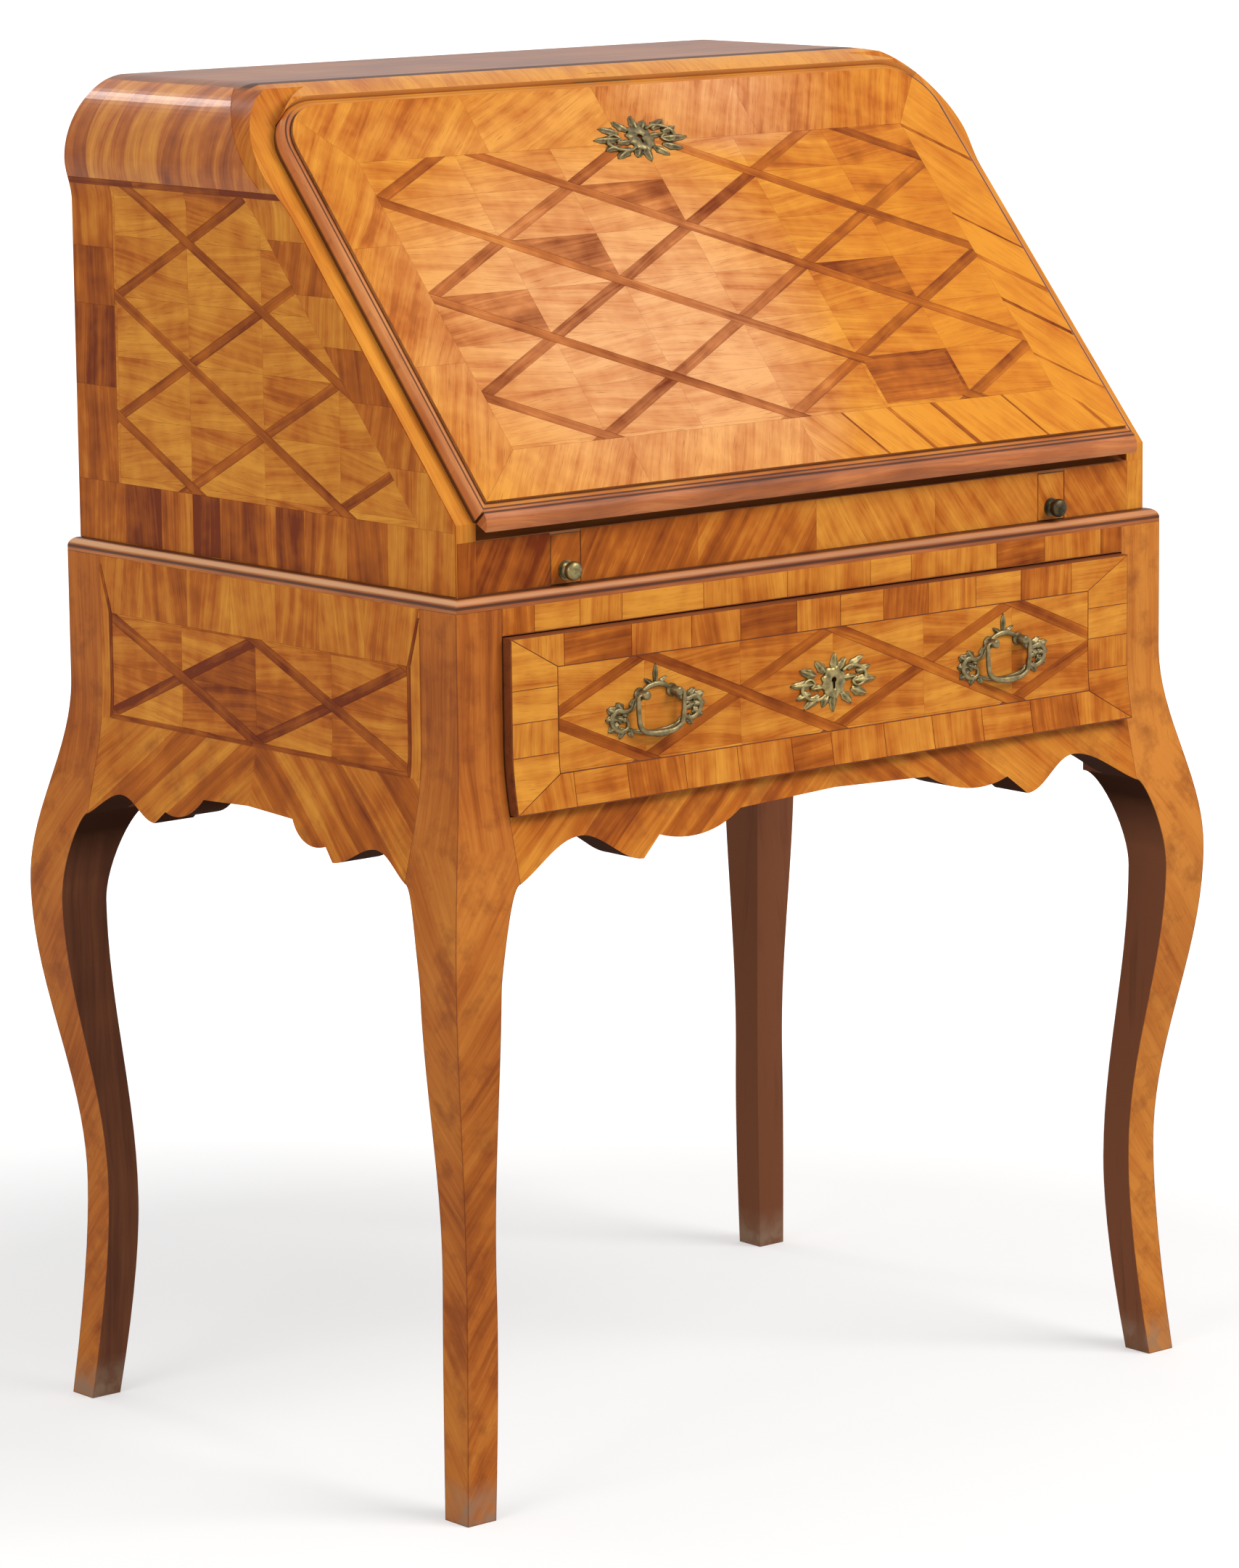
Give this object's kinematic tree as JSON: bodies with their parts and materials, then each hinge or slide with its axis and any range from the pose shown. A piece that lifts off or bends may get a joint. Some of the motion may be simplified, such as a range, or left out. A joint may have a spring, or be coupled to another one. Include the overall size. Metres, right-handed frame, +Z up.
{
  "type": "writing bureau",
  "caption": "Slant-front writing bureau in parquetry veneer on cabriole legs, with a fall flap on pull-out supports, a fitted cabinet inside and a drawer with bail handles.",
  "frame": {"origin": "on the floor under the middle of the bureau", "axes": "+Z up, -Y towards the sitter at the front, +X to the sitter's left hand seen from the desk, right in a front view"},
  "size_m": [0.7612, 0.5272, 1.033],
  "materials": {
    "veneered_wood": "polished parquetry veneer",
    "inner_wood": "waxed",
    "carcase_wood": "unpolished softwood and oak",
    "brass": "antique, patinated",
    "lock_iron": "dark filed iron",
    "leather": "tooled writing leather"
  },
  "bodies": {
    "carcase": {"base_back": "carcase_wood", "cabinet_shelf": "inner_wood", "cabinet_uprights": "inner_wood", "case_back": "carcase_wood", "case_side_left": "veneered_wood", "case_side_right": "veneered_wood", "case_top": "veneered_wood", "drawer_dividers": "inner_wood", "drawer_guides": "carcase_wood", "drawer_kickers": "carcase_wood", "drawer_rail": "veneered_wood", "drawer_runners": "carcase_wood", "dust_board": "carcase_wood", "frieze_rail": "veneered_wood", "front_apron": "veneered_wood", "hinge_fixed_leaves": "brass", "hinge_pins": "brass", "leg_back_left": "veneered_wood", "leg_back_right": "veneered_wood", "leg_front_left": "veneered_wood", "leg_front_right": "veneered_wood", "loper_guides": "carcase_wood", "pigeonhole_dividers": "inner_wood", "side_panel_left": "veneered_wood", "side_panel_right": "veneered_wood", "waist_moulding": "veneered_wood", "writing_bed": "inner_wood"},
    "flap": {"flap_panel": "veneered_wood", "flap_lip": "veneered_wood", "flap_lining": "leather", "flap_escutcheon": "brass", "flap_lock": "lock_iron", "hinge_flap_leaves": "brass"},
    "flap_bolt": {"flap_bolt": "lock_iron"},
    "loper_left": {"loper_left": "veneered_wood", "loper_knob_left": "brass"},
    "loper_right": {"loper_right": "veneered_wood", "loper_knob_right": "brass"},
    "drawer": {"drawer_front": "veneered_wood", "drawer_sides": "carcase_wood", "drawer_back": "carcase_wood", "drawer_bottom": "carcase_wood", "drawer_escutcheon": "brass", "drawer_lock": "lock_iron", "handle_plates": "brass"},
    "drawer_bolt": {"drawer_bolt": "lock_iron"},
    "bail_left": {"bail_left": "brass"},
    "bail_right": {"bail_right": "brass"},
    "small_drawer_lower_left": {"small_drawer_lower_left_front": "inner_wood", "small_drawer_lower_left_tray": "carcase_wood", "small_drawer_lower_left_knob": "brass"},
    "small_drawer_upper_left": {"small_drawer_upper_left_front": "inner_wood", "small_drawer_upper_left_tray": "carcase_wood", "small_drawer_upper_left_knob": "brass"},
    "small_drawer_lower_right": {"small_drawer_lower_right_front": "inner_wood", "small_drawer_lower_right_tray": "carcase_wood", "small_drawer_lower_right_knob": "brass"},
    "small_drawer_upper_right": {"small_drawer_upper_right_front": "inner_wood", "small_drawer_upper_right_tray": "carcase_wood", "small_drawer_upper_right_knob": "brass"}
  },
  "joints": [
    {"name": "flap_fall", "type": "hinge", "parent": "carcase", "child": "flap", "pos_m": [0, -0.2284, 0.733], "axis": [1, 0, 0], "range_deg": [0, 131.5]},
    {"name": "flap_lock_throw", "type": "slide", "parent": "flap", "child": "flap_bolt", "axis": [0, 0.6626, 0.749], "range_m": [0, 0.008]},
    {"name": "loper_left_slide", "type": "slide", "parent": "carcase", "child": "loper_left", "axis": [0, -1, 0], "range_m": [0, 0.23]},
    {"name": "loper_right_slide", "type": "slide", "parent": "carcase", "child": "loper_right", "axis": [0, -1, 0], "range_m": [0, 0.23]},
    {"name": "drawer_slide", "type": "slide", "parent": "carcase", "child": "drawer", "axis": [0, -1, 0], "range_m": [0, 0.28]},
    {"name": "drawer_lock_throw", "type": "slide", "parent": "drawer", "child": "drawer_bolt", "axis": [0, 0, 1], "range_m": [0, 0.008]},
    {"name": "bail_left_swing", "type": "hinge", "parent": "drawer", "child": "bail_left", "pos_m": [-0.17608, -0.2536, 0.596], "axis": [-1, 0, 0], "range_deg": [0, 95]},
    {"name": "bail_right_swing", "type": "hinge", "parent": "drawer", "child": "bail_right", "pos_m": [0.17608, -0.2536, 0.596], "axis": [-1, 0, 0], "range_deg": [0, 95]},
    {"name": "small_drawer_lower_left_slide", "type": "slide", "parent": "carcase", "child": "small_drawer_lower_left", "axis": [0, -1, 0], "range_m": [0, 0.11]},
    {"name": "small_drawer_upper_left_slide", "type": "slide", "parent": "carcase", "child": "small_drawer_upper_left", "axis": [0, -1, 0], "range_m": [0, 0.11]},
    {"name": "small_drawer_lower_right_slide", "type": "slide", "parent": "carcase", "child": "small_drawer_lower_right", "axis": [0, -1, 0], "range_m": [0, 0.11]},
    {"name": "small_drawer_upper_right_slide", "type": "slide", "parent": "carcase", "child": "small_drawer_upper_right", "axis": [0, -1, 0], "range_m": [0, 0.11]}
  ]
}
